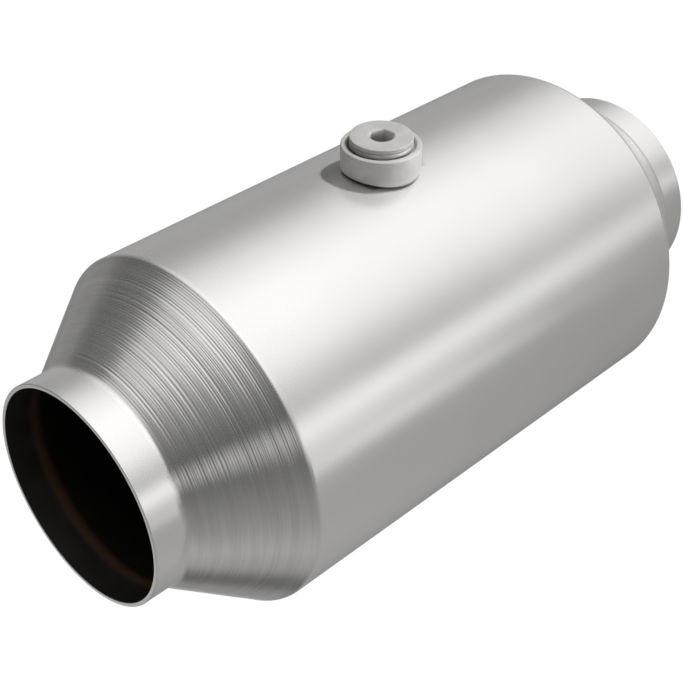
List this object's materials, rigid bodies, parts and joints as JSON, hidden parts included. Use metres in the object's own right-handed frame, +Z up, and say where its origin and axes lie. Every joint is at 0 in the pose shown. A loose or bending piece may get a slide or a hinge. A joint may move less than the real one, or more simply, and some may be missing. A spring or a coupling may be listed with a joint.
{
  "type": "catalytic converter",
  "caption": "Round spun-steel catalytic converter with a cone and short neck at each end, honeycomb bricks inside and a plugged sensor bung on top.",
  "frame": {"origin": "centre of the inlet mouth, in the plane of its rim", "axes": "+X along the exhaust line from the inlet to the outlet, +Z up through the axis of the sensor bung, +Y across the can"},
  "size_m": [0.2754, 0.128, 0.1406],
  "materials": {
    "shell_steel": "satin stainless sheet, with turned spinning lines round both cones",
    "brick_ceramic": "dull fired ceramic with a catalyst coat",
    "mat_fibre": "compressed swelling fibre mat",
    "seal_wire": "dull knitted stainless wire",
    "bung_steel": "matte light grey steel",
    "plug_steel": "matte light grey steel",
    "gasket_steel": "satin folded steel"
  },
  "bodies": {
    "root": {"shell": "shell_steel", "front_brick": "brick_ceramic", "rear_brick": "brick_ceramic", "front_mat": "mat_fibre", "rear_mat": "mat_fibre", "front_inlet_seal": "seal_wire", "front_outlet_seal": "seal_wire", "rear_inlet_seal": "seal_wire", "rear_outlet_seal": "seal_wire", "sensor_bung": "bung_steel", "bung_plug": "plug_steel", "plug_gasket": "gasket_steel"}
  },
  "joints": []
}
